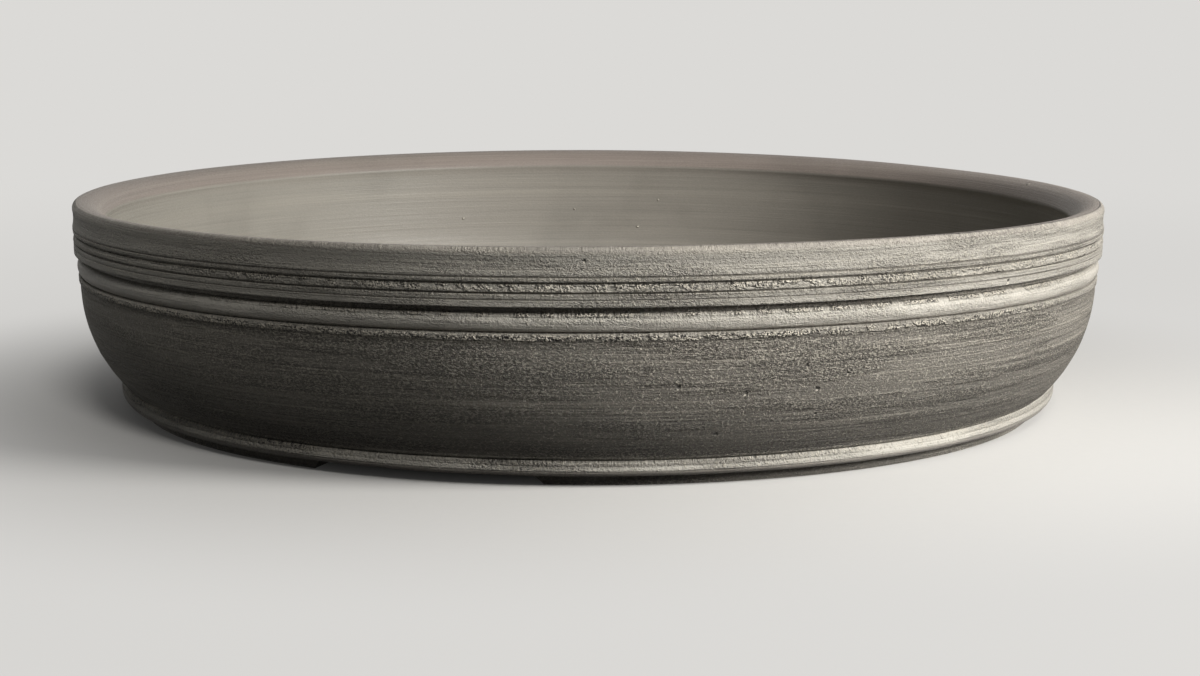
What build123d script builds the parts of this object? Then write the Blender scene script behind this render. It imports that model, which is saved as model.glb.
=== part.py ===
from build123d import *

import os
from math import cos, radians, sin

# A shallow round bonsai pot in coarse unglazed clay, standing on three low feet.
# Millimetres. The origin is on the pot's axis at the ground, +Z is up, and -Y is the side photographed.
# A bearing is an angle about the axis, counted from -Y towards +X.

# Whole pot
RIM_RADIUS = 175.0
POT_HEIGHT = 72.5

# Lip: a gentle slope from the crest at the outside down to an inner edge that overhangs the wall
LIP_WIDTH = 11.3
LIP_DROP = 5.0
LIP_SWELL = 0.6
LIP_OVERHANG = 1.3
LIP_OVERHANG_HEIGHT = 4.0
CREST_ROUND = 1.5

# Turned bands below the crest, from the top down, each inset from the rim's outside
RIM_FACE_HEIGHT = 2.6
HOLLOW_HEIGHT = 4.6
HOLLOW_DEPTH = 0.4
UPPER_RIDGE_HEIGHT = 2.5
FIRST_GROOVE_WIDTH = 1.1
FIRST_GROOVE_DEPTH = 1.3
MIDDLE_RIDGE_HEIGHT = 1.9
MIDDLE_RIDGE_INSET = 0.3
SECOND_GROOVE_WIDTH = 1.0
SECOND_GROOVE_DEPTH = 0.9
FLAT_BAND_HEIGHT = 3.4
DEEP_GROOVE_WIDTH = 1.7
DEEP_GROOVE_DEPTH = 2.9
ROLL_HEIGHT = 5.2
ROLL_INSET = 1.9
ROLL_SWELL = 0.5
NARROW_GROOVE_WIDTH = 1.1
NARROW_GROOVE_DEPTH = 0.8
TORN_RIDGE_HEIGHT = 1.8
TORN_RIDGE_INSET = 1.5
BELLY_STEP_HEIGHT = 0.6
BELLY_INSET = 2.3

# Belly and the wall's seat on the base
BELLY_SWELL = 4.4
SEAT_INSET = 17.8
SEAT_WIDTH = 9.2

# Inside of the wall, between the floor and the lip
WAIST_THICKNESS = 10.9
INNER_CURVE_RISE = 30.0
INNER_CURVE_SWELL = 4.5

# Base slab, with a flange under the wall and a shoulder inside it
FLOOR_THICKNESS = 9.0
FLANGE_THICKNESS = 4.6
FLANGE_INSET = 0.6
SLIP_JOINT = 0.1

# Bead: a half-round coil pressed on to the edge of the slab
BEAD_REACH = 1.6

# Coil worked into the corner between floor and wall
COVE_REACH = 9.0
COVE_RISE = 10.0
COVE_HOLLOW = 1.0

# Foot ring, cut away at three arches so that three feet are left
FOOT_HEIGHT = 4.8
FOOT_INSET = 7.2
FOOT_WIDTH = 11.0
FOOT_TAPER = 1.2
FOOT_EDGE_ROUND = 1.2
FOOT_NAMES = ("foot_right", "foot_back", "foot_left")
ARCH_WIDTH = 64.0
ARCH_END_SPLAY = 4.5
ARCH_BEARING = -18.6

# Holes through the base
DRAIN_HOLE_RADIUS = 12.5
DRAIN_HOLE_COUNT = 3
DRAIN_CIRCLE_INSET = 64.0
TIE_HOLE_RADIUS = 2.5
TIE_HOLE_COUNT = 6
TIE_CIRCLE_INSET = 29.0

# Every cut runs past the material by this much
OVERRUN = 2.0

# Places that several pieces share
FULL_TURN = 360.0
SEAT_RADIUS = RIM_RADIUS - SEAT_INSET
BORE_RADIUS = SEAT_RADIUS - SEAT_WIDTH
FLANGE_RADIUS = SEAT_RADIUS - FLANGE_INSET
SEAT_LEVEL = FOOT_HEIGHT + FLANGE_THICKNESS
FLOOR_LEVEL = FOOT_HEIGHT + FLOOR_THICKNESS
FOOT_RADIUS = SEAT_RADIUS - FOOT_INSET
FOOT_INNER_RADIUS = FOOT_RADIUS - FOOT_WIDTH
DRAIN_CIRCLE_RADIUS = FOOT_INNER_RADIUS - DRAIN_CIRCLE_INSET
TIE_CIRCLE_RADIUS = FOOT_INNER_RADIUS - TIE_CIRCLE_INSET


class Trace:
    """A closed outline in radius and height, drawn edge by edge from a starting corner."""

    def __init__(self, radius, height):
        self.start = (radius, height)
        self.here = self.start
        self.edges = []

    def add(self, edge, radius, height):
        """Take an edge that ends at a radius and a height."""
        self.edges.append(edge)
        self.here = (radius, height)
        return self

    def line(self, radius, height):
        """Draw a straight edge to a radius and a height."""
        return self.add(Line(self.here, (radius, height)), radius, height)

    def bow(self, radius, height, swell):
        """Draw an arc whose middle stands off its chord by swell, to the left of the way it goes."""
        return self.add(SagittaArc(self.here, (radius, height), swell), radius, height)

    def groove(self, width, depth, inset_after):
        """Cut a V into the outside, going down, and go on at another inset from the rim."""
        radius, height = self.here
        self.line(radius - depth, height - width / 2)
        return self.line(RIM_RADIUS - inset_after, height - width)

    def face(self):
        """Close the outline and fill it."""
        if self.here != self.start:
            self.line(*self.start)
        return make_face(self.edges)


def turned(section):
    """Turn a section drawn in radius and height into a solid about the pot's axis."""
    return revolve(Plane.XZ * section, Axis.Z)


def section_place(point):
    """The radius and height of a point of a section."""
    return point.X, point.Y


def at_bearing(radius, bearing):
    """The X and Y of a place at a radius and a bearing."""
    angle = radians(bearing)
    return radius * sin(angle), -radius * cos(angle)


def inner_curve():
    """The arc of the wall's inside, from the slab's shoulder up to the waist."""
    waist = (RIM_RADIUS - WAIST_THICKNESS, FLOOR_LEVEL + INNER_CURVE_RISE)
    return SagittaArc((BORE_RADIUS, FLOOR_LEVEL), waist, -INNER_CURVE_SWELL)


def thrown_wall():
    """The thrown wall: lip, turned bands and belly in one, seated on the slab's flange."""
    crest = POT_HEIGHT
    lip_radius = RIM_RADIUS - LIP_WIDTH
    quarter_swell = CREST_ROUND * (1 - cos(radians(FULL_TURN / 8)))
    trace = Trace(lip_radius, crest - LIP_DROP)
    trace.bow(RIM_RADIUS - CREST_ROUND, crest, LIP_SWELL)
    trace.bow(RIM_RADIUS, crest - CREST_ROUND, quarter_swell)
    trace.line(RIM_RADIUS, crest - RIM_FACE_HEIGHT)
    trace.bow(RIM_RADIUS, trace.here[1] - HOLLOW_HEIGHT, -HOLLOW_DEPTH)
    trace.line(RIM_RADIUS, trace.here[1] - UPPER_RIDGE_HEIGHT)
    trace.groove(FIRST_GROOVE_WIDTH, FIRST_GROOVE_DEPTH, MIDDLE_RIDGE_INSET)
    trace.line(trace.here[0], trace.here[1] - MIDDLE_RIDGE_HEIGHT)
    trace.groove(SECOND_GROOVE_WIDTH, SECOND_GROOVE_DEPTH, MIDDLE_RIDGE_INSET)
    trace.line(trace.here[0], trace.here[1] - FLAT_BAND_HEIGHT)
    trace.line(RIM_RADIUS - MIDDLE_RIDGE_INSET - DEEP_GROOVE_DEPTH, trace.here[1])
    trace.line(trace.here[0], trace.here[1] - DEEP_GROOVE_WIDTH / 2)
    trace.line(RIM_RADIUS - ROLL_INSET, trace.here[1] - DEEP_GROOVE_WIDTH / 2)
    trace.bow(trace.here[0], trace.here[1] - ROLL_HEIGHT, ROLL_SWELL)
    trace.groove(NARROW_GROOVE_WIDTH, NARROW_GROOVE_DEPTH, TORN_RIDGE_INSET)
    trace.line(trace.here[0], trace.here[1] - TORN_RIDGE_HEIGHT)
    trace.line(RIM_RADIUS - BELLY_INSET, trace.here[1] - BELLY_STEP_HEIGHT)
    trace.bow(SEAT_RADIUS, SEAT_LEVEL, BELLY_SWELL)
    trace.line(BORE_RADIUS, SEAT_LEVEL)
    trace.line(BORE_RADIUS, FLOOR_LEVEL)
    curve = inner_curve()
    trace.add(curve, *section_place(curve @ 1))
    trace.line(lip_radius + LIP_OVERHANG, crest - LIP_DROP - LIP_OVERHANG_HEIGHT)
    return turned(trace.face())


def base_slab():
    """The base: a floor with a shoulder inside the wall, a flange under it, and its holes."""
    shoulder_radius = BORE_RADIUS - SLIP_JOINT
    trace = Trace(0, FOOT_HEIGHT)
    trace.line(FLANGE_RADIUS, FOOT_HEIGHT)
    trace.line(FLANGE_RADIUS, SEAT_LEVEL)
    trace.line(shoulder_radius, SEAT_LEVEL)
    trace.line(shoulder_radius, FLOOR_LEVEL)
    trace.line(0, FLOOR_LEVEL)
    slab = turned(trace.face())
    slab -= hole_ring(DRAIN_CIRCLE_RADIUS, DRAIN_HOLE_COUNT, DRAIN_HOLE_RADIUS, ARCH_BEARING)
    between_arches = ARCH_BEARING + FULL_TURN / TIE_HOLE_COUNT / 2
    slab -= hole_ring(TIE_CIRCLE_RADIUS, TIE_HOLE_COUNT, TIE_HOLE_RADIUS, between_arches)
    return slab


def hole_ring(circle_radius, count, hole_radius, first_bearing):
    """Cutters for evenly spaced holes through the base, on a circle about the axis."""
    depth = FLOOR_THICKNESS + 2 * OVERRUN
    cutter = Cylinder(hole_radius, depth, align=(Align.CENTER, Align.CENTER, Align.MIN))
    bearings = [first_bearing + FULL_TURN * index / count for index in range(count)]
    places = [at_bearing(circle_radius, bearing) for bearing in bearings]
    return [Pos(*place, FOOT_HEIGHT - OVERRUN) * cutter for place in places]


def base_bead():
    """The half-round coil that hides the seam, as tall as the slab's flange."""
    inner_radius = FLANGE_RADIUS + SLIP_JOINT
    trace = Trace(inner_radius, SEAT_LEVEL)
    trace.bow(inner_radius, FOOT_HEIGHT, BEAD_REACH)
    return turned(trace.face())


def inner_seam_coil():
    """The coil smoothed into the corner of floor and wall, hollow like a fingertip."""
    curve = inner_curve()
    lower = curve.trim(0, COVE_RISE / curve.length)
    trace = Trace(BORE_RADIUS - COVE_REACH, FLOOR_LEVEL)
    trace.line(BORE_RADIUS, FLOOR_LEVEL)
    trace.add(lower, *section_place(lower @ 1))
    trace.bow(*trace.start, COVE_HOLLOW)
    return turned(trace.face())


def foot_ring():
    """The thrown ring under the base, before its arches are cut."""
    trace = Trace(FOOT_INNER_RADIUS, FOOT_HEIGHT)
    trace.line(FOOT_RADIUS + FOOT_TAPER, FOOT_HEIGHT)
    trace.line(FOOT_RADIUS, 0)
    trace.line(FOOT_INNER_RADIUS + FOOT_TAPER, 0)
    return turned(trace.face())


def arch_cutter(bearing):
    """A wedge that opens downwards, lying along one bearing from the axis past the ring."""
    top = FOOT_HEIGHT + OVERRUN
    spread = ARCH_END_SPLAY / FOOT_HEIGHT
    half_top = ARCH_WIDTH / 2 - spread * OVERRUN
    half_bottom = ARCH_WIDTH / 2 + spread * (FOOT_HEIGHT + OVERRUN)
    corners = [(-half_top, top), (half_top, top), (half_bottom, -OVERRUN), (-half_bottom, -OVERRUN)]
    outline = make_face(Polyline(*corners, close=True))
    reach = FOOT_RADIUS + FOOT_TAPER + OVERRUN
    return Rot(0, 0, bearing) * extrude(Plane.XZ * outline, reach)


def feet():
    """The three feet, each named for its place and rounded where it meets the ground."""
    ring = foot_ring()
    spacing = FULL_TURN / len(FOOT_NAMES)
    for index in range(len(FOOT_NAMES)):
        ring -= arch_cutter(ARCH_BEARING + spacing * index)
    named = {}
    for index, name in enumerate(FOOT_NAMES):
        middle = at_bearing(FOOT_RADIUS, ARCH_BEARING + spacing * (index + 1 / 2))
        foot = ring.solids().sort_by_distance((*middle, 0))[0]
        sole = foot.faces().sort_by(Axis.Z)[0]
        named[name] = foot.fillet(FOOT_EDGE_ROUND, sole.edges())
    return named


def main():
    """Write each piece of the pot to its own file."""
    pieces = {
        "thrown_wall": thrown_wall(),
        "base_slab": base_slab(),
        "base_bead": base_bead(),
        "inner_seam_coil": inner_seam_coil(),
        **feet(),
    }
    os.makedirs("parts", exist_ok=True)
    for name, piece in pieces.items():
        export_step(piece, f"parts/{name}.step")


main()
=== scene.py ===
import logging
from collections.abc import Callable, Iterator
from dataclasses import dataclass, replace
from enum import Enum
from math import atan2, cos, degrees, hypot, radians, sin

import bmesh
import bpy
from mathutils import Matrix, Vector, noise
from mathutils.bvhtree import BVHTree

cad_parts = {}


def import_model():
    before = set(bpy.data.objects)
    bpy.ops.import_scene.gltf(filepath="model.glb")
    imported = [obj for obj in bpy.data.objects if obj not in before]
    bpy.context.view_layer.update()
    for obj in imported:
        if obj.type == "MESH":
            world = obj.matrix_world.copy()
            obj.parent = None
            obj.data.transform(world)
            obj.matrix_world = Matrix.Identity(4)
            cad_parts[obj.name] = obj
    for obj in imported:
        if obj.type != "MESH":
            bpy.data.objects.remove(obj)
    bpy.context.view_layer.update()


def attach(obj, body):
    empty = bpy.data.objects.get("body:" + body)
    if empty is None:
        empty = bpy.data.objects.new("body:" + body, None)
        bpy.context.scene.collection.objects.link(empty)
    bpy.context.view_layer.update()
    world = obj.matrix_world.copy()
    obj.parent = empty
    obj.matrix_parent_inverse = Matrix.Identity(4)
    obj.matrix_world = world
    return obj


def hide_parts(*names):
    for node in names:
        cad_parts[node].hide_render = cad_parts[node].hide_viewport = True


# A shallow round bonsai pot in coarse unglazed clay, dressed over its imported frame.
# The sizes of the pieces are in millimetres and are made metres as each piece is turned.
# A bearing is an angle about the pot's axis, counted from -Y, the side photographed, towards +X.
# A Place is a point of a section: its distance from the axis, which is called its radius, and its height.

MM = 0.001
FULL_TURN = 360.0
Colour = tuple[float, float, float]
Place = tuple[float, float]

log = logging.getLogger("bonsai_pot")


def at_bearing(radius: float, bearing: float, height: float) -> Vector:
    """Find a place from its bearing.

    Args:
        radius: Its distance from the axis.
        bearing: Its bearing, in degrees.
        height: Its height above the ground.

    Returns:
        The place, in the same unit as the radius and height.
    """
    angle = radians(bearing)
    return Vector((radius * sin(angle), -radius * cos(angle), height))


def bearing_of(place: Vector) -> float:
    """Find the bearing of a place.

    Args:
        place: The place.

    Returns:
        Its bearing, in radians.
    """
    return atan2(place.x, -place.y)


def clamped(value: float) -> float:
    """Keep a number from 0 to 1.

    Args:
        value: The number.

    Returns:
        The number, or the nearer end.
    """
    return min(1.0, max(0.0, value))


# ---- Shader maths ----


def sum_of(operation: str, swapped: bool = False) -> Callable[["Wire", "Wire | float"], "Wire"]:
    """Make an operator of Wire, which adds a Math node.

    Args:
        operation: The node's operation.
        swapped: Whether the wire comes second.

    Returns:
        The operator.
    """

    def work(wire: "Wire", other: "Wire | float") -> "Wire":
        """Add the node."""
        first, second = (other, wire) if swapped else (wire, other)
        return wire.sheet.add("Math", {0: first, 1: second}, operation=operation)

    return work


class Wire:
    """An output socket that can be used in sums, each of which adds a Math node."""

    def __init__(self, sheet: "Sheet", socket: bpy.types.NodeSocket) -> None:
        """Keep the sheet that the socket's node is on."""
        self.sheet = sheet
        self.socket = socket

    def other(self, name: str) -> "Wire":
        """Another output of the same node."""
        return Wire(self.sheet, self.socket.node.outputs[name])

    __add__, __radd__ = sum_of("ADD"), sum_of("ADD", swapped=True)
    __sub__, __rsub__ = sum_of("SUBTRACT"), sum_of("SUBTRACT", swapped=True)
    __mul__, __rmul__ = sum_of("MULTIPLY"), sum_of("MULTIPLY", swapped=True)


@dataclass(frozen=True)
class Fade:
    """A smooth change: the values at which it starts and ends, and the numbers before and after it."""

    low: float
    high: float
    start: float = 0.0
    end: float = 1.0


class Sheet:
    """A material's or world's node tree, written on from a blank."""

    def __init__(self, tree: bpy.types.NodeTree) -> None:
        """Clear the tree."""
        self.tree = tree
        tree.nodes.clear()

    def add(
        self, kind: str, sockets: dict[int | str, object] | None = None, output: int | str = 0, **settings: object
    ) -> Wire:
        """Add a node.

        Args:
            kind: The node's type, without ShaderNode.
            sockets: A value or a Wire for each input that isn't left at its default.
            output: The output to hand back.
            settings: The node's own properties, which are set before its sockets.

        Returns:
            The chosen output.
        """
        node = self.tree.nodes.new("ShaderNode" + kind)
        for name, value in settings.items():
            setattr(node, name, value)
        for name, value in (sockets or {}).items():
            if isinstance(value, Wire):
                self.tree.links.new(value.socket, node.inputs[name])
            else:
                node.inputs[name].default_value = value
        return Wire(self, node.outputs[output] if node.outputs else None)

    def vector(self, operation: str, first: object, second: object = None) -> Wire:
        """Work on vectors.

        Args:
            operation: The Vector Math node's operation.
            first: Its first vector.
            second: Its second vector or its scale, if it has one.

        Returns:
            The result, which is a number for a length or distance.
        """
        sockets = {0: first}
        if second is not None:
            sockets["Scale" if operation == "SCALE" else 1] = second
        output = "Value" if operation in ("LENGTH", "DISTANCE") else "Vector"
        return self.add("VectorMath", sockets, output, operation=operation)

    def blend(self, first: object, second: object, share: Wire | float) -> Wire:
        """Mix two colours.

        Args:
            first: The colour underneath.
            second: The colour over it.
            share: How much of the second shows, from 0 to 1.

        Returns:
            The mixed colour.
        """
        colours = [(*c, 1.0) if isinstance(c, tuple) else c for c in (first, second)]
        return self.add("Mix", {0: share, 6: colours[0], 7: colours[1]}, 2, data_type="RGBA")

    def fade(self, value: Wire, change: Fade) -> Wire:
        """Go smoothly from one number to another as a value goes from low to high.

        Args:
            value: What the change follows.
            change: Where it starts and ends, and its numbers.

        Returns:
            The number.
        """
        sockets = {0: value, 1: change.low, 2: change.high, 3: change.start, 4: change.end}
        return self.add("MapRange", sockets, interpolation_type="SMOOTHSTEP")

    def seen(self) -> Wire:
        """Tell what is seen, by the camera or in a gloss or glass, from what only lights the scene.

        Returns:
            1 for a ray that sees, or else 0.
        """
        path = self.add("LightPath", output="Is Camera Ray")
        return path + path.other("Is Glossy Ray") + path.other("Is Transmission Ray")

    def noise(self, place: Wire, scale: float, detail: float = 2.0, rough: float = 0.5) -> Wire:
        """Fractal noise from 0 to 1.

        Args:
            place: Where it is read.
            scale: Features in one unit of place.
            detail: How many finer layers it has.
            rough: How strong the finer layers are.

        Returns:
            The noise's value.
        """
        sockets = {"Vector": place, "Scale": scale, "Detail": detail, "Roughness": rough}
        return self.add("TexNoise", sockets)


@dataclass(frozen=True)
class Pattern:
    """Noise drawn out along the turning: its marks' length and pitch in metres, and its finer layers."""

    length: float
    pitch: float
    detail: float = 2.0
    rough: float = 0.5


class Lathe:
    """Object coordinates wound round the pot's axis, so that a pattern runs the way the wheel turned."""

    RIM_RADIUS = 0.175
    PROFILE_LEAN = 0.77

    def __init__(self, sheet: Sheet) -> None:
        """Read the place, and split it into a direction about the axis and a distance along the profile."""
        self.sheet = sheet
        self.place = sheet.add("TexCoord", output="Object")
        flat = sheet.vector("MULTIPLY", self.place, (1.0, 1.0, 0.0))
        self.around = sheet.vector("NORMALIZE", flat)
        radius = sheet.vector("LENGTH", flat)
        height = sheet.add("SeparateXYZ", {0: self.place}, "Z")
        self.rise = height + radius * self.PROFILE_LEAN

    def lines(self, pattern: Pattern) -> Wire:
        """Noise drawn out along the turning.

        Args:
            pattern: Its marks, measured at the rim.

        Returns:
            The noise's value, from 0 to 1.
        """
        round_it = self.sheet.vector("SCALE", self.around, self.RIM_RADIUS / pattern.length)
        across = self.sheet.add("CombineXYZ", {2: self.rise * (1.0 / pattern.pitch)})
        place = self.sheet.vector("ADD", round_it, across)
        return self.sheet.noise(place, 1.0, pattern.detail, pattern.rough)


# ---- Finishes ----


class Trait(Enum):
    """How a place on the clay was left, or, for dull, how much painted shade darkens it, each kept as a number on the
    piece's points, from 0 to about 1.
    """

    TORN = "torn"
    COARSE = "coarse"
    RUBBED = "rubbed"
    BLUSH = "blush"
    # dull is painted shade: it blends the colour towards dark, on the lower belly
    DULL = "dull"
    GRITTY = "gritty"


class Flaw(Enum):
    """A single mark in the clay."""

    PIT = "pit"
    CRUMB = "crumb"


class Side(Enum):
    """The side of the wall that a mark is on."""

    OUTSIDE = "outside"
    INSIDE = "inside"
    LIP = "lip"


@dataclass(frozen=True)
class Blemish:
    """One pit or crumb: its place in metres and its radius in metres."""

    kind: Flaw
    centre: tuple[float, float, float]
    radius: float


# What the tool and the wheel left: broad drags, fine lines and thin scores with their burrs
DRAGS = Pattern(0.240, 0.0036, 3.0, 0.55)
DRAG_CREST = Fade(0.50, 0.72)
FINE_LINES = Pattern(0.060, 0.00080, 3.0, 0.65)
# The fine lines' valleys and the scores are painted dark, as painted shade; the drags' crests and the burrs pale, as
# painted highlight
LINE_VALLEY = Fade(0.54, 0.32)
SCORES = Pattern(0.110, 0.00085, 2.0, 0.60)
SCORE = Fade(0.59, 0.66)
BURR = Fade(0.43, 0.37)

# Grog: grains dragged along the turning, in patches, and specks between them
PATCHES = Pattern(0.060, 0.0085, 3.0, 0.62)
PATCH = Fade(0.44, 0.60, 0.32, 1.0)
GRAINS = Pattern(0.00095, 0.00050, 2.0, 0.80)
# Raised grains are painted pale and sunk ones dark: painted highlight and painted shade of the grains' relief
RAISED = Fade(0.53, 0.61)
SUNK = Fade(0.46, 0.38)
SPECK = Fade(0.62, 0.68)

# Torn edges: broken runs of crumbs and hollows; the hollows are painted dark, as painted shade
BREAKS = Pattern(0.0050, 0.0022)
BREAK = Fade(0.42, 0.54, 0.15, 1.0)
CHIP = Fade(0.46, 0.54)
HOLLOW = Fade(0.44, 0.38)

# Clouds of colour in the clay
MOTTLE = Fade(0.48, 0.30)
WARMTH = Fade(0.42, 0.64)

# A pit or crumb, in its own radii: its core, a pit's depth, and the lower lip of a pit, where light catches and a
# highlight is painted
CORE = 0.30
PIT_DEPTH = 1.1
PIT_LIP_DROP = 0.9
PIT_LIP_CORE = 0.2
PIT_LIP_REACH = 0.7


@dataclass(frozen=True)
class Strength:
    """How much each mark does to the colour, then to the roughness and the height. The line, score, sunk, hollow and
    pit marks darken as painted shade, and the drag, raised and burr marks lighten as painted highlight; pit also paints
    a highlight on a pit's lip.
    """

    least_cut: float = 0.12
    warmth: float = 0.10
    line: float = 0.38
    drag: float = 0.09
    mottle: float = 0.15
    grain: float = 0.04
    raised: float = 0.92
    sunk: float = 0.52
    speck: float = 0.70
    burr: float = 0.32
    score: float = 0.38
    hollow: float = 0.90
    pit: float = 0.9
    crumb: float = 0.6
    rough_coarse: float = 0.26
    rough_grain: float = 0.10
    raise_grain: float = 0.02
    raise_speck: float = 0.25


@dataclass(frozen=True)
class Stoneware:
    """Unglazed, groggy stoneware. Colours are linear, depths are metres, scales are features to the metre."""

    name: str
    body: Colour = (0.190, 0.178, 0.154)
    # sheen: the lighter colour of rubbed clay, partly its own burnished tone and partly a painted sheen
    sheen: Colour = (0.545, 0.521, 0.464)
    blush: Colour = (0.262, 0.214, 0.190)
    # pale: the grog's own pale specks, and the colour of painted highlights on raised grains, drag crests and burrs
    pale: Colour = (0.520, 0.480, 0.405)
    # crumb: the colour of fresh grog at chips, also used for the painted highlight on pits' lower lips
    crumb: Colour = (0.720, 0.665, 0.560)
    # dark: the tone of the mottling, and the colour of painted shade in valleys, scores, sunk grains, hollows, pits and
    # the lower belly
    dark: Colour = (0.040, 0.036, 0.032)
    line_depth: float = 0.00036
    drag_depth: float = 0.00022
    score_depth: float = 0.00010
    grain_depth: float = 0.00210
    torn_depth: float = 0.00240
    speck_scale: float = 1300.0
    crumb_scale: float = 1500.0
    mottle_scale: float = 16.0
    warmth_scale: float = 8.0
    stray_scale: float = 900.0
    stray: float = 0.0013
    coarse: float = 0.3
    rubbed: float = 0.5
    flush: float = 0.0
    roughness: float = 0.44
    specular: float = 0.28
    much: Strength = Strength()
    marked: bool = False

    def _traits(self, sheet: Sheet) -> dict[Trait, "Wire | float"]:
        """Read the traits from the piece's points where it has them, or take the finish's own."""
        if not self.marked:
            plain = {Trait.TORN: 0.0, Trait.COARSE: self.coarse, Trait.RUBBED: self.rubbed}
            return {**plain, Trait.BLUSH: self.flush, Trait.DULL: 0.0, Trait.GRITTY: 1.0}
        read = {"output": "Fac", "attribute_type": "GEOMETRY"}
        return {trait: sheet.add("Attribute", **read, attribute_name=trait.value) for trait in Trait}

    def make(self, blemishes: tuple[Blemish, ...] = ()) -> bpy.types.Material:
        """Make the material.

        Args:
            blemishes: Single pits and crumbs that the surface has.

        Returns:
            The material.
        """
        material = bpy.data.materials.new(self.name)
        material.use_nodes = True
        sheet = Sheet(material.node_tree)
        lathe = Lathe(sheet)
        traits = self._traits(sheet)
        torn, coarse, gritty = traits[Trait.TORN], traits[Trait.COARSE], traits[Trait.GRITTY]
        rubbed, flush, dull = traits[Trait.RUBBED], traits[Trait.BLUSH], traits[Trait.DULL]
        much = self.much

        drags, fine, scores = lathe.lines(DRAGS), lathe.lines(FINE_LINES), lathe.lines(SCORES)
        cut = much.least_cut + (1.0 - much.least_cut) * coarse
        score, burr = sheet.fade(scores, SCORE) * cut, sheet.fade(scores, BURR) * cut

        groggy = coarse * gritty
        grit = sheet.fade(lathe.lines(PATCHES), PATCH) * groggy
        grains = lathe.lines(GRAINS)
        raised, sunk = sheet.fade(grains, RAISED), sheet.fade(grains, SUNK)
        speck = sheet.fade(sheet.noise(lathe.place, self.speck_scale, 1.0), SPECK) * groggy

        crumbs = sheet.noise(lathe.place, self.crumb_scale, 1.0, 0.60)
        broken = torn * sheet.fade(lathe.lines(BREAKS), BREAK)
        chip, hollow = sheet.fade(crumbs, CHIP) * broken, sheet.fade(crumbs, HOLLOW) * broken

        mottle = sheet.fade(sheet.noise(lathe.place, self.mottle_scale, 3.0, 0.6), MOTTLE)
        warm = sheet.fade(sheet.noise(lathe.place, self.warmth_scale, 2.0), WARMTH)
        # pale: painted highlight on raised grains and burrs, with the grog's own pale specks
        pale = raised * (much.grain + much.raised * grit) + speck * much.speck + burr * much.burr
        # rubbed clay turns towards the sheen colour, partly a painted sheen
        colour = sheet.blend(self.body, self.sheen, rubbed)
        for tone, share in (
            (self.blush, much.warmth * warm + flush),
            # painted shade in the fine lines' valleys
            (self.dark, sheet.fade(fine, LINE_VALLEY) * (much.line * cut)),
            # painted highlight on the drags' crests
            (self.pale, sheet.fade(drags, DRAG_CREST) * much.drag),
            (self.dark, mottle * much.mottle),
            # painted highlight on raised grains and burrs, with the grog's own specks
            (self.pale, pale),
            # painted shade in the sunk grains
            (self.dark, sunk * (much.grain + much.sunk * grit)),
            # painted shade in the scores
            (self.dark, score * much.score),
            (self.crumb, chip),
            # painted shade in the torn edges' hollows
            (self.dark, hollow * much.hollow),
            # painted shade on the lower belly
            (self.dark, dull),
        ):
            colour = sheet.blend(colour, tone, share)

        height = (fine * self.line_depth + drags * self.drag_depth) * cut - (score - burr) * self.score_depth
        height = height + grains * (much.raise_grain + grit) * self.grain_depth
        height = height + speck * (much.raise_speck * self.grain_depth) + crumbs * broken * self.torn_depth
        uneven = sheet.add("TexNoise", {"Vector": lathe.place, "Scale": self.stray_scale}, "Color")
        astray = sheet.vector("SCALE", sheet.vector("SUBTRACT", uneven, (0.5, 0.5, 0.5)), self.stray)
        strayed = sheet.vector("ADD", lathe.place, astray)
        for blemish in blemishes:
            colour, height = self._spoil(sheet, strayed, blemish, colour, height)

        rough = self.roughness + much.rough_coarse * coarse + much.rough_grain * (sunk - raised)
        normal = sheet.add("Bump", {"Strength": 1.0, "Distance": 1.0, "Height": height})
        sockets = {"Base Color": colour, "Roughness": rough, "Normal": normal, "Specular IOR Level": self.specular}
        surface = sheet.add("BsdfPrincipled", sockets)
        sheet.add("OutputMaterial", {"Surface": surface})
        return material

    def _spoil(self, sheet: Sheet, place: Wire, blemish: Blemish, colour: Wire, height: Wire) -> tuple[Wire, Wire]:
        """Add one pit or crumb.

        Args:
            sheet: The material's sheet.
            place: The place, a little astray, which makes the mark's edge ragged.
            blemish: The pit or crumb.
            colour: The colour without it.
            height: The height without it.

        Returns:
            The colour and the height with it.
        """
        size, much = blemish.radius, self.much
        away = sheet.vector("DISTANCE", place, blemish.centre)
        core = sheet.fade(away, Fade(CORE * size, size, 1.0, 0.0))
        if blemish.kind is Flaw.CRUMB:
            return sheet.blend(colour, self.crumb, core * much.crumb), height + core * size
        below = Vector(blemish.centre) - Vector((0, 0, PIT_LIP_DROP * size))
        away = sheet.vector("DISTANCE", place, tuple(below))
        lip = sheet.fade(away, Fade(PIT_LIP_CORE * size, PIT_LIP_REACH * size, 1.0, 0.0))
        # Painted shade in the pit's core, and a painted highlight in the crumb colour on its lower lip
        colour = sheet.blend(colour, self.dark, core * much.pit)
        colour = sheet.blend(colour, self.crumb, lip * much.pit)
        return colour, height - core * (PIT_DEPTH * size)


WALL_CLAY = Stoneware("turned_wall_clay", marked=True)
BEAD_CLAY = Stoneware(
    "rubbed_bead_clay", marked=True, line_depth=0.00008, drag_depth=0.00008, grain_depth=0.00200, roughness=0.40
)
BASE_CLAY = Stoneware("scraped_base_clay", coarse=0.24, rubbed=0.16)
SEAM_CLAY = Stoneware("smoothed_seam_clay", coarse=0.06, rubbed=0.24, flush=0.05)
FOOT_CLAY = Stoneware("turned_foot_clay", coarse=0.55, rubbed=0.15, flush=0.10)


# ---- Turning ----


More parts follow.
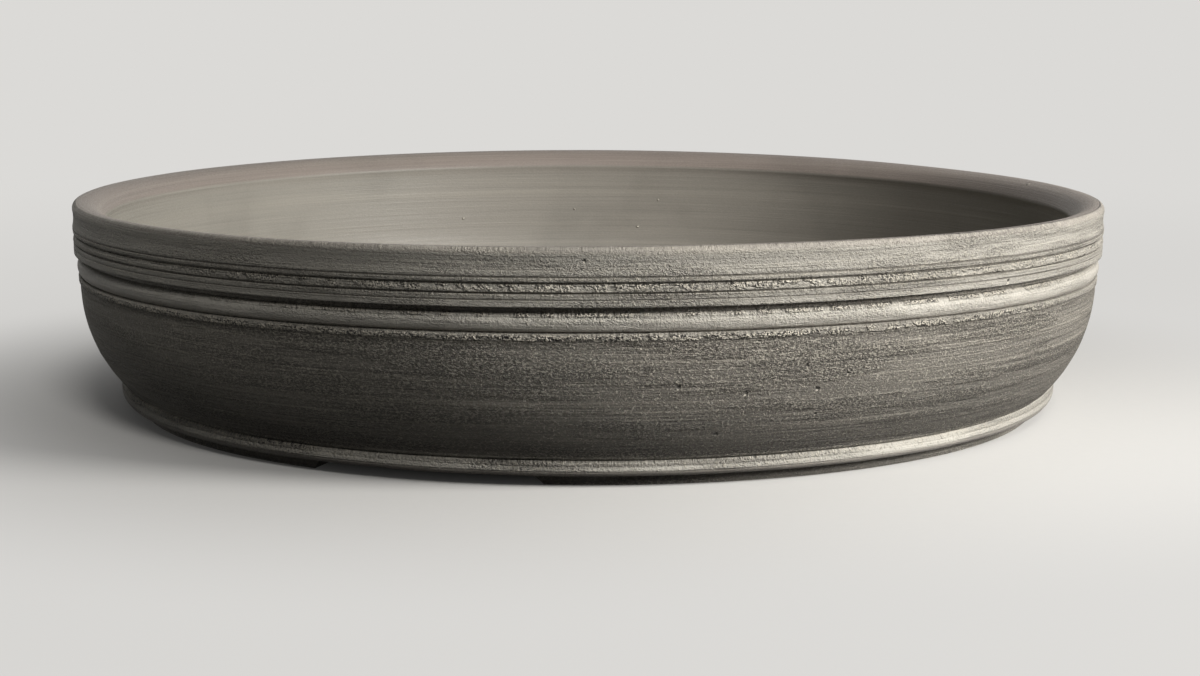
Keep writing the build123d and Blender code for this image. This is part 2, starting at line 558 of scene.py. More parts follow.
@dataclass(frozen=True)
class Touch:
    """The traits of one point of a profile."""

    torn: float = 0.0
    coarse: float = 0.0
    rubbed: float = 0.0
    blush: float = 0.0
    # dull: painted shade, how far the colour is darkened
    dull: float = 0.0
    gritty: float = 1.0

    def value(self, trait: Trait) -> float:
        """The number of one trait."""
        return getattr(self, trait.value)

    def toward(self, other: "Touch", share: float) -> "Touch":
        """Go part of the way to another touch."""
        return Touch(*(self.value(t) + share * (other.value(t) - self.value(t)) for t in Trait))


@dataclass(frozen=True)
class Stroke:
    """A stroke of a section: its end, its points, how far its middle bows out to the left, and their touch, if new."""

    end: Place
    steps: int = 1
    bow: float = 0.0
    touch: Touch | None = None


@dataclass(frozen=True)
class Groove:
    """A groove turned into the outside: the height of its middle, its width, its depth and how torn its edge is."""

    level: float
    width: float
    depth: float
    flat: float = 0.2
    torn: float = 0.0


@dataclass(frozen=True)
class Band:
    """A turned band below a groove: the radius at its top and foot, its touch at each, its bow and its torn run."""

    top: float
    foot: float
    touch: Touch
    foot_touch: Touch
    steps: int = 4
    bow: float = 0.0
    torn_run: float = 0.0


class Outline:
    """A profile in radius and height, drawn stroke by stroke, in millimetres.

    A full turn is spun as one sector, which is then repeated, because that is much quicker.
    """

    SECTORS = 20
    MERGE = 1e-6

    def __init__(self, start: Place, touch: Touch = Touch()) -> None:
        """Start at a corner."""
        self.points = [start]
        self.touches = [touch]

    def draw(self, *strokes: Stroke) -> "Outline":
        """Draw strokes, one after another.

        Args:
            strokes: The strokes.

        Returns:
            The outline.
        """
        for stroke in strokes:
            start_r, start_z = self.points[-1]
            run, rise = stroke.end[0] - start_r, stroke.end[1] - start_z
            length = hypot(run, rise)
            for step in range(1, stroke.steps + 1):
                share = step / stroke.steps
                off = 4.0 * stroke.bow * share * (1.0 - share) / length
                self.points.append((start_r + share * run - off * rise, start_z + share * rise + off * run))
                self.touches.append(stroke.touch or self.touches[-1])
        return self

    def band(self, groove: Groove, band: Band, foot_level: float) -> None:
        """Cut a groove, going down the outside, and draw the band below it.

        Args:
            groove: The groove.
            band: The band.
            foot_level: The height that the band ends at.
        """
        deep = self.points[-1][0] - groove.depth
        half, flat = groove.width / 2.0, groove.width * groove.flat / 2.0
        coarse = max(self.touches[-1].coarse, band.touch.coarse)
        floor, edge = Touch(0.3 * groove.torn, 0.4), Touch(groove.torn, coarse, 0.4)
        self.draw(
            Stroke((deep, groove.level + flat), 2, 0.0, floor),
            Stroke((deep, groove.level - flat), 1, 0.0, floor),
            Stroke((band.top, groove.level - half), 2, 0.0, edge),
        )
        first, top_level = len(self.points), self.points[-1][1]
        self.draw(Stroke((band.foot, foot_level), band.steps, band.bow, band.touch))
        for index in range(first, len(self.points)):
            down = top_level - self.points[index][1]
            self.touches[index] = band.touch.toward(band.foot_touch, down / (top_level - foot_level))
            if down < band.torn_run:
                self.touches[index] = Touch(groove.torn, 0.6, 0.8)

    def turn(self, steps: int, start: float = 0.0, end: float = FULL_TURN, closed: bool = True) -> bmesh.types.BMesh:
        """Spin the outline about the pot's axis.

        Args:
            steps: How many steps the spin takes.
            start: The bearing in degrees that it starts at.
            end: The bearing that it ends at.
            closed: Whether the last point is joined to the first.

        Returns:
            The spun shape, in metres, with the traits on its points.
        """
        shape = bmesh.new()
        layers = {trait: shape.verts.layers.float.new(trait.value) for trait in Trait}
        corners = []
        for (radius, height), touch in zip(self.points, self.touches):
            corner = shape.verts.new(at_bearing(radius, start, height) * MM)
            for trait, layer in layers.items():
                corner[layer] = touch.value(trait)
            corners.append(corner)
        following = corners[1:] + corners[:1] if closed else corners[1:]
        edges = [shape.edges.new(pair) for pair in zip(corners, following)]
        span = radians(end - start)
        sectors = self.SECTORS if end - start >= FULL_TURN else 1
        spin = {"cent": (0, 0, 0), "axis": (0, 0, 1), "dvec": (0, 0, 0), "use_merge": False, "use_normal_flip": False}
        angle = span / sectors
        bmesh.ops.spin(shape, geom=corners + edges, **spin, angle=angle, steps=steps // sectors, use_duplicate=False)
        if sectors > 1:
            sector = list(shape.verts) + list(shape.edges) + list(shape.faces)
            angle = span * (sectors - 1) / sectors
            bmesh.ops.spin(shape, geom=sector, **spin, angle=angle, steps=sectors - 1, use_duplicate=True)
        bmesh.ops.remove_doubles(shape, verts=shape.verts, dist=self.MERGE)
        bmesh.ops.recalc_face_normals(shape, faces=shape.faces)
        return shape


def shift(shape: bmesh.types.BMesh, moves: list[Vector]) -> None:
    """Move the points of a shape, all at once.

    Args:
        shape: The shape, which is changed.
        moves: One move for each point, in metres.
    """
    for vert, move in zip(shape.verts, moves):
        vert.co += move


def finished(
    name: str, shape: bmesh.types.BMesh, material: bpy.types.Material, crease: float | None = None
) -> bpy.types.Object:
    """Make a shape an object of the scene, smooth, at the origin.

    Args:
        name: The piece's name.
        shape: The shape, which is freed.
        material: Its material.
        crease: The angle in degrees past which an edge stays sharp, if any does.

    Returns:
        The object.
    """
    mesh = bpy.data.meshes.new(name)
    shape.to_mesh(mesh)
    shape.free()
    mesh.polygons.foreach_set("use_smooth", [True] * len(mesh.polygons))
    if crease is not None:
        mesh.set_sharp_from_angle(angle=radians(crease))
    mesh.materials.append(material)
    piece = bpy.data.objects.new(name, mesh)
    bpy.context.scene.collection.objects.link(piece)
    return piece


def hand_over(piece: bpy.types.Object, slot: str, *nodes: str) -> bpy.types.Object:
    """Let a piece stand for its CAD nodes on the pot's only body.

    Args:
        piece: The finished piece.
        slot: The record's material slot. It is not used.
        nodes: The CAD nodes that it replaces.

    Returns:
        The piece.
    """
    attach(piece, "root")
    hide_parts(*nodes)
    return piece


@dataclass(frozen=True)
class Ripple:
    """Noise over a turned surface: changes round it and up it, its height in millimetres, and where it is read."""

    around: float
    upward: float
    height: float
    start: tuple[float, float] = (0.0, 0.0)

    def at(self, place: Vector) -> float:
        """Read the noise.

        Args:
            place: A point of the surface, in metres.

        Returns:
            How far the surface stands out there, in millimetres.
        """
        bearing = bearing_of(place)
        turn = Vector((sin(bearing), cos(bearing), 0.0))
        return noise.noise(turn * self.around + Vector((*self.start, place.z * self.upward))) * self.height


@dataclass(frozen=True)
class Warp:
    """How the rim moved in drying: heights in millimetres at the rim, dying away below it."""

    rim: float = 71.25
    reach: float = 62.0
    waves: tuple[tuple[int, float, float], ...] = ((1, 0.362, 0.0), (2, 0.843, 0.295), (3, -0.129, 0.170))

    def lift(self, bearing: float, height: float) -> float:
        """Work out how far a place moved up.

        Args:
            bearing: Its bearing, in radians.
            height: Its height before that, in millimetres.

        Returns:
            The lift, in millimetres.
        """
        share = clamped(1.0 + (height - self.rim) / self.reach)
        return share * sum(a * cos(n * bearing) + b * sin(n * bearing) for n, a, b in self.waves)


@dataclass(frozen=True)
class Mark:
    """A pit or crumb of the wall: its bearing, its level (or its distance from the axis, on the lip) and its radius."""

    bearing: float
    place: float
    radius: float
    kind: Flaw = Flaw.PIT
    side: Side = Side.OUTSIDE


SLIP = Touch(coarse=0.03, rubbed=0.27)
NECK = Touch(coarse=0.05, rubbed=0.30, blush=0.05)
LIP = Touch(coarse=0.15, rubbed=0.16, blush=0.62)
RIM_EDGE = Touch(coarse=0.60, rubbed=0.50, blush=0.20)
RIM_FACE = Touch(coarse=0.62, rubbed=0.58)
RIM_HOLLOW = Touch(coarse=0.66, rubbed=0.58)
ROLL = Touch(torn=0.2, coarse=0.45, rubbed=1.0)
ROLL_FOOT = Touch(coarse=0.4, rubbed=0.96, blush=0.10)
BELLY_EDGE = Touch(torn=0.25, coarse=1.0)
BELLY = Touch(coarse=1.0)
SKIRT = Touch(torn=0.1, coarse=1.0, rubbed=0.15)


@dataclass
class ThrownWall:
    """The wall: inside curve, sloping lip, turned bands and belly, thrown in one."""

    finish: Stoneware = WALL_CLAY
    corner: Place = (148.0, 9.4)
    inside: tuple[Stroke, ...] = (
        Stroke((148.0, 13.8), 2), Stroke((164.1, 43.8), 18, -4.5, SLIP), Stroke((164.6, 62.3), 8, -0.2, SLIP),
    )
    lip: tuple[Stroke, ...] = (Stroke((164.0, 65.3), 5, -0.15, NECK), Stroke((173.3, 71.2), 16, 1.7, LIP))
    rim: tuple[Stroke, ...] = (Stroke((175.0, 69.6), 5, 0.40, RIM_EDGE), Stroke((175.0, 68.7), 2, 0.0, RIM_FACE))
    rim_hollow: float = 0.30
    grooves: tuple[tuple[Groove, Band], ...] = (
        (Groove(62.75, 0.8, 0.28, torn=0.10), Band(175.0, 174.9, Touch(0.1, 0.8, 0.5), Touch(0.1, 0.8, 0.6))),
        (
            Groove(61.05, 1.0, 0.85, torn=0.9),
            Band(174.5, 174.8, Touch(0.9, 0.9, 0.10), Touch(0.4, 0.9, 0.7), torn_run=0.6),
        ),
        (Groove(58.30, 0.8, 0.62, torn=0.3), Band(174.7, 174.7, Touch(0.05, 0.7, 0.5), Touch(0.0, 0.7, 0.6), 2)),
        (Groove(56.40, 0.5, 0.16, torn=0.1), Band(174.7, 174.6, Touch(0.0, 0.6, 0.5), Touch(0.05, 0.7, 0.8))),
        (
            Groove(53.35, 2.1, 2.70, flat=0.55, torn=0.8),
            Band(172.75, 172.75, ROLL, ROLL_FOOT, steps=10, bow=0.90, torn_run=0.9),
        ),
        (Groove(47.05, 0.8, 0.80, torn=0.3), Band(173.3, 173.2, Touch(1.4, 0.8, 0.5), Touch(0.9, 1.0, 0.2), 3)),
    )
    ridge_foot: float = 44.9
    belly: tuple[Stroke, Stroke] = (Stroke((172.75, 44.3), 2, 0.0, BELLY_EDGE), Stroke((158.5, 9.5), 18, 3.7, BELLY))
    # Painted shade: the lower belly's colour is darkened more and more towards its foot
    belly_painted_shade: float = 0.50
    skirt: tuple[Stroke, ...] = (
        Stroke((157.4, 8.3), 4, 0.20, SKIRT), Stroke((156.65, 8.3), 1, 0.0, Touch()), Stroke((156.65, 9.4)),
        Stroke((151.0, 9.4), 2),
    )
    steps: int = 660
    warp: Warp = Warp()
    torn_run: Ripple = Ripple(1.4, 60.0, 1.5, (424.84, 157.19))
    least_torn: float = 0.62
    gritty_bearing: float = 18.0
    most_grit: float = 1.15
    grit_loss: float = 0.85
    least_grit: float = 0.25
    # Painted shade: the rubbed bands' lighter colour is dimmed on the right and back, most at this bearing
    side_shade_bearing: float = 135.0
    side_shade: float = 0.45
    wave: Ripple = Ripple(2.3, 45.0, 0.16)
    drag: Ripple = Ripple(9.0, 420.0, 0.07, (7.0, 0.0))
    crumb_scale: float = 640.0
    crumb_height: float = 0.24
    marks: tuple[Mark, ...] = (
        Mark(8.6, 31.4, 0.9), Mark(15.3, 28.9, 0.9), Mark(21.4, 36.2, 0.8), Mark(22.8, 29.1, 0.9),
        Mark(-48.6, 30.9, 0.9, Flaw.CRUMB), Mark(23.2, 21.3, 0.7), Mark(12.9, 16.4, 0.8), Mark(26.0, 33.3, 0.8),
        Mark(28.8, 58.5, 0.7), Mark(30.5, 52.6, 0.7), Mark(46.2, 55.6, 0.8), Mark(-0.4, 67.4, 0.7),
        Mark(108.0, 169.0, 0.9, Flaw.CRUMB, Side.LIP), Mark(173.0, 41.0, 0.6, Flaw.CRUMB, Side.INSIDE),
        Mark(170.0, 52.0, 0.5, Flaw.CRUMB, Side.INSIDE), Mark(182.0, 48.0, 0.5, Flaw.CRUMB, Side.INSIDE),
        Mark(198.0, 45.0, 0.6, Flaw.CRUMB, Side.INSIDE),
    )

    def outline(self) -> Outline:
        """Draw the section, up the inside, over the lip and down the outside."""
        line = Outline(self.corner).draw(*self.inside, *self.lip, *self.rim)
        tops = [groove.level + groove.width / 2 for groove, _ in self.grooves]
        line.draw(Stroke((line.points[-1][0], tops[0]), 8, -self.rim_hollow, RIM_HOLLOW))
        for (groove, band), foot_level in zip(self.grooves, [*tops[1:], self.ridge_foot]):
            line.band(groove, band, foot_level)
        edge, belly = self.belly
        line.draw(edge, belly)
        # Paint shade on the lower belly, darker towards its foot
        for step in range(belly.steps):
            dull = self.belly_painted_shade * (step / belly.steps) ** 2
            line.touches[step - belly.steps] = replace(BELLY, dull=dull)
        return line.draw(*self.skirt)

    def work(self, shape: bmesh.types.BMesh) -> None:
        """Move the points as hands and tools would: waves, drags, torn edges and the rim's warp.

        Args:
            shape: The turned wall, which is changed.
        """
        changed = (Trait.TORN, Trait.COARSE, Trait.RUBBED, Trait.GRITTY)
        torn, coarse, rubbed, gritty = (shape.verts.layers.float[trait.value] for trait in changed)
        shape.normal_update()
        moves = []
        for vert in shape.verts:
            bearing = bearing_of(vert.co)
            vert[torn] *= clamped(self.least_torn + self.torn_run.at(vert.co))
            # The grains' painted highlight and shade are strongest at gritty_bearing, on the lit front right, and
            # weaker round the back
            lost = self.grit_loss * (1.0 - cos(bearing - radians(self.gritty_bearing)))
            vert[gritty] *= max(self.least_grit, self.most_grit - lost)
            # painted shade: dim the rubbed bands' lighter colour on the right and back
            vert[rubbed] *= 1.0 - self.side_shade * max(0.0, cos(bearing - radians(self.side_shade_bearing)))
            drag = self.drag.at(vert.co) * vert[coarse]
            crumb = noise.noise(vert.co * self.crumb_scale) * self.crumb_height * vert[torn]
            push = vert.normal * ((self.wave.at(vert.co) + drag + crumb) * MM)
            moves.append(push + Vector((0, 0, self.warp.lift(bearing, vert.co.z / MM) * MM)))
        shift(shape, moves)

    def blemishes(self, shape: bmesh.types.BMesh) -> tuple[Blemish, ...]:
        """Find where the marks lie on the worked wall.

        Args:
            shape: The worked wall.

        Returns:
            The blemishes, each centred on the surface.
        """
        tree = BVHTree.FromBMesh(shape)
        within, beyond, above = 100.0, 200.0, 100.0
        found = []
        for mark in self.marks:
            out = at_bearing(1.0, mark.bearing, 0.0)
            level = Vector((0, 0, mark.place + self.warp.lift(radians(mark.bearing), mark.place)))
            start, way = {
                Side.OUTSIDE: (out * beyond + level, -out),
                Side.INSIDE: (out * within + level, out),
                Side.LIP: (out * mark.place + Vector((0, 0, above)), Vector((0, 0, -1))),
            }[mark.side]
            centre = tree.ray_cast(start * MM, way)[0]
            found.append(Blemish(mark.kind, tuple(centre), mark.radius * MM))
        return tuple(found)

    def build(self) -> bpy.types.Object:
        """Turn, work and finish the wall."""
        shape = self.outline().turn(self.steps)
        self.work(shape)
        material = self.finish.make(self.blemishes(shape))
        return hand_over(finished("turned_wall", shape, material), "wall_clay", "thrown_wall")


BACK = Touch(torn=0.2, coarse=1.0, rubbed=0.2)
BROW = Touch(torn=0.1, coarse=1.0, rubbed=0.45, gritty=1.7)
WIDEST = Touch(coarse=0.70, rubbed=0.76, gritty=1.4)
HEEL = Touch(coarse=0.35, rubbed=0.60, blush=0.35)
UNDER = Touch(coarse=0.2, rubbed=0.2, blush=0.6)


@dataclass
class BaseBead:
    """The smooth coil pressed round the edge of the base, a flattened half round."""

    finish: Stoneware = BEAD_CLAY
    back_radius: float = 155.45
    foot_level: float = 4.0
    top: Place = (157.0, 8.65)
    front: tuple[Stroke, ...] = (
        Stroke((158.2, 7.3), 5, 0.28, BROW), Stroke((158.7, 5.7), 4, 0.10, WIDEST),
        Stroke((158.1, 4.6), 4, 0.15, HEEL), Stroke((156.65, 4.0), 4, 0.30, UNDER),
    )
    sag: float = 0.45
    sag_bearing: float = -10.0
    side_from: float = 42.0
    side_to: float = 90.0
    side_rise: float = 2.4
    side_spread: tuple[float, float] = (0.8, 1.8)
    # On the right the bead is smoother and lighter; the lighter colour is partly a painted highlight on the side the
    # key lamp lights
    smooth_span: tuple[float, float] = (0.0, 160.0)
    smooth_fade: float = 25.0
    smooth_share: float = 0.60
    press: Ripple = Ripple(6.0, 0.0, 0.14)
    scrape: Ripple = Ripple(30.0, 300.0, 0.05, (3.0, 0.0))
    steps: int = 600

    def outline(self) -> Outline:
        """Draw the coil's section, over its top and down its outside."""
        line = Outline((self.back_radius, self.top[1]), BACK)
        return line.draw(Stroke(self.top, 2), *self.front, Stroke((self.back_radius, self.foot_level + 0.1)))

    def pressed_up(self, point: Vector) -> Vector:
        """Say how far the coil, but not its back, is pressed up and out over the wall at the pot's sides.

        Args:
            point: A point of the coil, in metres.

        Returns:
            The point's move, in metres.
        """
        bearing = abs(degrees(bearing_of(point)))
        side = clamped((bearing - self.side_from) / (self.side_to - self.side_from))
        share = clamped((point.z / MM - self.foot_level) / (self.top[1] - self.foot_level))
        out = Vector((point.x, point.y, 0.0))
        outer = clamped((out.length / MM - self.back_radius) / (self.top[0] - self.back_radius))
        low, more = self.side_spread
        push = side * outer * (low + more * share)
        rise = side * clamped(2.0 * outer - 1.0) * self.side_rise * share
        return out.normalized() * (push * MM) + Vector((0.0, 0.0, rise * MM))

    def build(self) -> bpy.types.Object:
        """Turn the coil, press it a little unevenly, and rub it smooth on the right, where its lighter rubbed colour is
        partly a painted highlight.
        """
        shape = self.outline().turn(self.steps)
        shape.normal_update()
        coarse, rubbed = (shape.verts.layers.float[trait.value] for trait in (Trait.COARSE, Trait.RUBBED))
        moves = []
        for vert in shape.verts:
            bearing = bearing_of(vert.co)
            inside = min(degrees(bearing) - self.smooth_span[0], self.smooth_span[1] - degrees(bearing))
            smooth = self.smooth_share * clamped(inside / self.smooth_fade)
            vert[coarse] *= 1.0 - smooth
            vert[rubbed] += (1.0 - vert[rubbed]) * smooth
            press = self.press.at(vert.co) + self.scrape.at(vert.co)
            sag = self.sag * cos(bearing - radians(self.sag_bearing))
            moves.append(vert.normal * (press * MM) - Vector((0, 0, sag * MM)) + self.pressed_up(vert.co))
        shift(shape, moves)
        return hand_over(finished("pressed_bead", shape, self.finish.make()), "bead_clay", "base_bead")


@dataclass
class BaseSlab:
    """The base: floor, shoulder inside the wall, flange under it, and softened holes."""

    finish: Stoneware = BASE_CLAY
    under_level: float = 4.8
    floor_level: float = 13.8
    section: tuple[Stroke, ...] = (
        Stroke((156.0, 4.8), 6), Stroke((156.5, 5.3)), Stroke((156.5, 9.4), 2), Stroke((147.9, 9.4)),
        Stroke((147.9, 13.8)), Stroke((0.0, 13.8), 6),
    )
    drain_circle: float = 75.0
    drain_radius: float = 12.5
    drain_bearings: tuple[float, ...] = (-18.6, 101.4, 221.4)
    tie_circle: float = 110.0
    tie_radius: float = 2.5
    tie_bearings: tuple[float, ...] = (11.4, 71.4, 131.4, 191.4, 251.4, 311.4)
    softness: float = 1.3
    most_soft: float = 0.45
    rounding: float = 0.30
    overrun: float = 0.6
    crease: float = 40.0
    steps: int = 360
    hole_steps: int = 56

    def disc(self) -> bmesh.types.BMesh:
        """Turn the base without its holes."""
        return Outline((0.0, self.under_level)).draw(*self.section).turn(self.steps, closed=False)

    def cutter(self, radius: float, place: Vector) -> bmesh.types.BMesh:
        """Turn a hole's cutter, which opens out where it meets each face.

        Args:
            radius: The hole's radius in millimetres.
            place: Where the hole's axis is, in metres.

        Returns:
            The cutter.
        """
        soft, past = min(self.softness, self.most_soft * radius), self.overrun
        wide, bow = radius + soft + past, self.rounding * soft
        line = Outline((0.0, self.under_level - past)).draw(
            Stroke((wide, self.under_level - past)),
            Stroke((radius, self.under_level + soft), 5, bow),
            Stroke((radius, self.floor_level - soft), 2),
            Stroke((wide, self.floor_level + past), 5, bow),
            Stroke((0.0, self.floor_level + past)),
        )
        shape = line.turn(self.hole_steps, closed=False)
        bmesh.ops.translate(shape, verts=shape.verts, vec=place)
        return shape

    def build(self) -> bpy.types.Object:
        """Turn the base, cut its holes and finish it."""
        slab = finished("floor_slab", self.disc(), self.finish.make(), self.crease)
        holes = [(self.drain_radius, self.drain_circle, bearing) for bearing in self.drain_bearings]
        holes += [(self.tie_radius, self.tie_circle, bearing) for bearing in self.tie_bearings]
        for radius, circle, bearing in holes:
            shape = self.cutter(radius, at_bearing(circle, bearing, 0.0) * MM)
            cutter = finished("hole_cutter", shape, slab.data.materials[0])
            cut = slab.modifiers.new("hole", "BOOLEAN")
            cut.operation, cut.solver, cut.object = "DIFFERENCE", "EXACT", cutter
            evaluated = slab.evaluated_get(bpy.context.evaluated_depsgraph_get())
            mesh = bpy.data.meshes.new_from_object(evaluated)
            slab.modifiers.clear()
            slab.data = mesh
            bpy.data.objects.remove(cutter)
        slab.data.set_sharp_from_angle(angle=radians(self.crease))
        return hand_over(slab, "base_clay", "base_slab")


@dataclass
class SeamCoil:
    """The coil worked into the corner of floor and wall with a fingertip."""

    finish: Stoneware = SEAM_CLAY
    floor_edge: Place = (139.0, 13.75)
    wall_edge: Place = (156.1, 19.9)
    hollow: float = 1.0
    under: tuple[Stroke, ...] = (Stroke((149.1, 13.35), 4), Stroke((139.4, 13.25), 4))
    fingers: Ripple = Ripple(14.0, 0.0, 0.25)
    sweep: Ripple = Ripple(4.0, 0.0, 0.2, (5.0, 0.0))
    steps: int = 480

    def build(self) -> bpy.types.Object:
        """Turn the coil and leave the finger's marks on it."""
        line = Outline(self.floor_edge).draw(Stroke(self.wall_edge, 16, -self.hollow), *self.under)
        shape = line.turn(self.steps)
        for vert in shape.verts:
            radius = hypot(vert.co.x, vert.co.y) / MM
            share = (radius - self.floor_edge[0]) / (self.wall_edge[0] - self.floor_edge[0])
            middle = max(0.0, share * (1.0 - share) * 4.0)
            vert.co.z += (self.fingers.at(vert.co) + self.sweep.at(vert.co)) * middle * MM
        return hand_over(finished("smoothed_seam", shape, self.finish.make()), "seam_clay", "inner_seam_coil")


@dataclass
class FootRing:
    """What is left of the thrown foot ring after three arches are cut from it."""

    finish: Stoneware = FOOT_CLAY
    names: tuple[str, ...] = ("foot_right", "foot_back", "foot_left")
    outer_radius: float = 152.8
    inner_radius: float = 140.0
    taper: float = 1.2
    top_level: float = 4.8
    arch_bearing: float = -18.6
    arch_half_width: float = 32.0
    arch_splay: float = 4.5
    softness: float = 1.2
    bevel_steps: int = 4
    bevel_angle: float = 35.0
    crease: float = 50.0
    end_margin: float = 6.0
    wavy_below: float = 4.4
    lumps: tuple[tuple[float, float], ...] = ((60.0, 0.10), (260.0, 0.05))
    steps: int = 140

    def foot(self, start: float) -> bmesh.types.BMesh:
        """Turn one foot and cut its sloping ends.

        Args:
            start: The bearing of the arch before it.

        Returns:
            The foot.
        """
        spacing = FULL_TURN / len(self.names)
        line = Outline((self.inner_radius, self.top_level)).draw(
            Stroke((self.outer_radius + self.taper, self.top_level)),
            Stroke((self.outer_radius, 0.0), 2),
            Stroke((self.inner_radius + self.taper, 0.0)),
        )
        shape = line.turn(self.steps, start + self.end_margin, start + spacing - self.end_margin)
        for bearing, side in ((start, 1.0), (start + spacing, -1.0)):
            across = at_bearing(side, bearing + 90.0, 0.0)
            inward = (across * self.top_level + Vector((0, 0, self.arch_splay))).normalized()
            edge = (across * self.arch_half_width + Vector((0, 0, self.top_level))) * MM
            geometry = list(shape.verts) + list(shape.edges) + list(shape.faces)
            bmesh.ops.bisect_plane(shape, geom=geometry, plane_co=edge, plane_no=inward, clear_inner=True)
            rim = [e for e in shape.edges if e.is_boundary and abs((e.verts[0].co - edge).dot(inward)) < line.MERGE]
            bmesh.ops.holes_fill(shape, edges=rim, sides=0)
        bmesh.ops.recalc_face_normals(shape, faces=shape.faces)
        bmesh.ops.bevel(
            shape, geom=[e for e in shape.edges if self.softened(e)], offset=self.softness * MM,
            offset_type="OFFSET", affect="EDGES", segments=self.bevel_steps, profile=0.5, material=-1,
            clamp_overlap=True,
        )
        return shape

    def softened(self, edge: bmesh.types.BMEdge) -> bool:
        """Say whether an edge was softened: each sharp one but those at the top, which meet the base.

        Args:
            edge: The edge.

        Returns:
            Whether it is bevelled.
        """
        if len(edge.link_faces) != 2 or edge.calc_face_angle() <= radians(self.bevel_angle):
            return False
        levels = [vert.co.z for vert in edge.verts]
        return max(levels) < (self.top_level - 0.1) * MM or levels[0] != levels[1]

    def build(self) -> Iterator[bpy.types.Object]:
        """Finish the three feet, one by one."""
        material = self.finish.make()
        for index, name in enumerate(self.names):
            shape = self.foot(self.arch_bearing + FULL_TURN / len(self.names) * index)
            for vert in shape.verts:
                if vert.co.z < self.wavy_below * MM:
                    out = Vector((vert.co.x, vert.co.y, 0.0)).normalized()
                    lump = sum(noise.noise(vert.co * scale) * height for scale, height in self.lumps)
                    vert.co += out * (lump * MM)
            piece = finished(f"turned_{name}", shape, material, self.crease)
            yield hand_over(piece, "foot_clay", name)


# ---- Studio ----

PAPER: Colour = (0.71, 0.70, 0.68)


@dataclass
class StudioFloor:
    """A plain pale floor that fades into a plain pale background, and bounces little light up."""

    tone: Colour = PAPER
    bounce: Colour = (0.02, 0.02, 0.02)
    evenness: float = 0.87
    near: Fade = Fade(0.13, 0.32)
    reach: float = 9.0
    far: Fade = Fade(0.20, 0.9)
    grain_scale: float = 300.0
    grain_shade: float = 0.97

    def material(self) -> bpy.types.Material:
        """Make the floor's material."""
        material = bpy.data.materials.new("studio_floor_paint")
        material.use_nodes = True
        sheet = Sheet(material.node_tree)
        place = sheet.add("TexCoord", output="Object")
        away = sheet.vector("LENGTH", place)
        far = sheet.fade(away, self.far)
        even = sheet.fade(away, self.near) * self.evenness
        shade = tuple(self.grain_shade * c for c in self.tone)
        paint = sheet.blend(self.tone, shade, sheet.noise(place, self.grain_scale))
        near = sheet.add("BsdfDiffuse", {"Color": paint})
        glow = sheet.add("Emission", {"Color": (*self.tone, 1.0), "Strength": 1.0})
        shown = sheet.add("MixShader", {0: even + (1.0 - even) * far, 1: near, 2: glow})
        dull = sheet.add("BsdfDiffuse", {"Color": (*self.bounce, 1.0)})
        surface = sheet.add("MixShader", {0: sheet.seen(), 1: dull, 2: shown})
        sheet.add("OutputMaterial", {"Surface": surface})
        return material

    def build(self) -> None:
        """Lay the floor."""
        shape = bmesh.new()
        bmesh.ops.create_grid(shape, x_segments=2, y_segments=2, size=self.reach)
        floor = finished("studio_floor", shape, self.material())


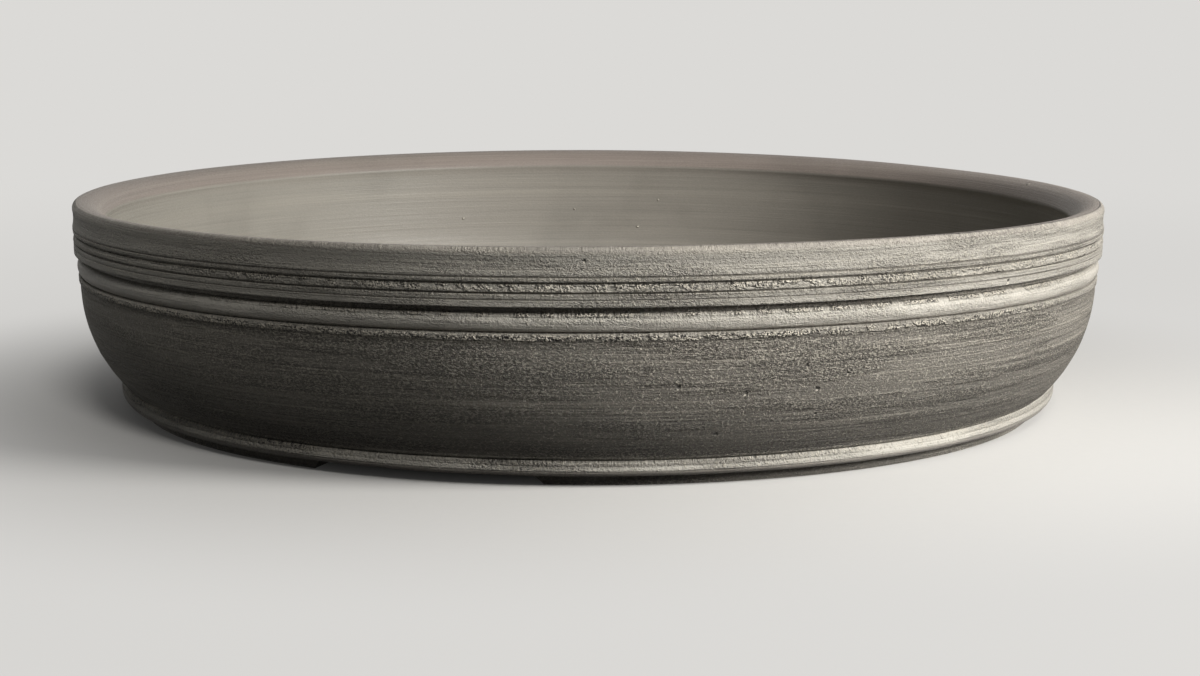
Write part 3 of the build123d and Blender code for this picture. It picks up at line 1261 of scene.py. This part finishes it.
@dataclass
class StudioLight:
    """A round softbox near the pot on the right, an even lamp from the front and a weak fill."""

    key_bearing: float = 58.0
    key_elevation: float = 22.0
    key_distance: float = 0.80
    key_width: float = 0.35
    key_power: float = 8.5
    front_bearing: float = 14.0
    front_elevation: float = 43.0
    front_spread: float = 16.0
    front_strength: float = 0.86
    front_distance: float = 2.0
    aim: Colour = (0.0, 0.0, 0.04)
    colour: Colour = (1.0, 0.985, 0.955)
    fill: Colour = (0.0235, 0.0245, 0.0260)
    backdrop: Colour = PAPER

    def hang(self, lamp: bpy.types.Light, bearing: float, elevation: float, distance: float) -> None:
        """Hang a lamp, aimed at the pot.

        Args:
            lamp: The lamp's data.
            bearing: Its bearing from the pot, in degrees.
            elevation: How high it stands over the pot, in degrees.
            distance: How far off it is, in metres.
        """
        lamp.color = self.colour
        place = at_bearing(cos(radians(elevation)), bearing, sin(radians(elevation)))
        hung = bpy.data.objects.new(lamp.name, lamp)
        hung.location = Vector(self.aim) + place * distance
        hung.rotation_euler = (-place).to_track_quat("-Z", "Y").to_euler()
        bpy.context.scene.collection.objects.link(hung)

    def build(self) -> None:
        """Hang the lamps and paint the world."""
        softbox = bpy.data.lights.new("soft_key", "AREA")
        softbox.shape, softbox.size, softbox.energy = "DISK", self.key_width, self.key_power
        self.hang(softbox, self.key_bearing, self.key_elevation, self.key_distance)
        even = bpy.data.lights.new("soft_front", "SUN")
        even.energy, even.angle = self.front_strength, radians(self.front_spread)
        self.hang(even, self.front_bearing, self.front_elevation, self.front_distance)

        world = bpy.data.worlds.new("studio_world")
        world.use_nodes = True
        bpy.context.scene.world = world
        sheet = Sheet(world.node_tree)
        fill = sheet.add("Background", {"Color": (*self.fill, 1.0), "Strength": 1.0})
        shown = sheet.add("Background", {"Color": (*self.backdrop, 1.0), "Strength": 1.0})
        surface = sheet.add("MixShader", {0: sheet.seen(), 1: fill, 2: shown})
        sheet.add("OutputWorld", {"Surface": surface})


@dataclass
class ViewCamera:
    """A camera where the photograph was taken from. Lengths are metres, angles degrees."""

    lens: float = 78.0
    sensor: float = 36.0
    distance: float = 0.89496
    height: float = 0.15659
    pitch: float = 8.674
    yaw: float = 0.2623
    roll: float = 0.141
    clip: tuple[float, float] = (0.01, 50.0)

    def build(self) -> None:
        """Set the camera up."""
        data = bpy.data.cameras.new("view_camera")
        data.lens, data.sensor_width, data.sensor_fit = self.lens, self.sensor, "HORIZONTAL"
        data.clip_start, data.clip_end = self.clip
        camera = bpy.data.objects.new("view_camera", data)
        turn = Matrix.Rotation(-radians(self.yaw), 4, "Z")
        nod = Matrix.Rotation(radians(90.0 - self.pitch), 4, "X")
        lean = Matrix.Rotation(radians(self.roll), 4, "Z")
        camera.matrix_world = Matrix.Translation((0.0, -self.distance, self.height)) @ turn @ nod @ lean
        bpy.context.scene.collection.objects.link(camera)
        bpy.context.scene.camera = camera


def report(piece: bpy.types.Object) -> None:
    """Say what was made."""
    low = [round(min(c[i] for c in piece.bound_box), 4) for i in range(3)]
    high = [round(max(c[i] for c in piece.bound_box), 4) for i in range(3)]
    log.info("%s: %d faces, from %s to %s", piece.name, len(piece.data.polygons), low, high)


def main() -> None:
    """Build the pot over its frame, then the studio round it."""
    logging.basicConfig(level=logging.INFO, format="%(relativeCreated)d ms %(name)s %(message)s")
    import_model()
    bpy.context.scene.view_settings.view_transform = "Standard"
    ViewCamera().build()
    for part in (ThrownWall(), BaseSlab(), BaseBead(), SeamCoil()):
        report(part.build())
    for foot in FootRing().build():
        report(foot)
    StudioFloor().build()
    StudioLight().build()


if __name__ == "__main__":
    main()
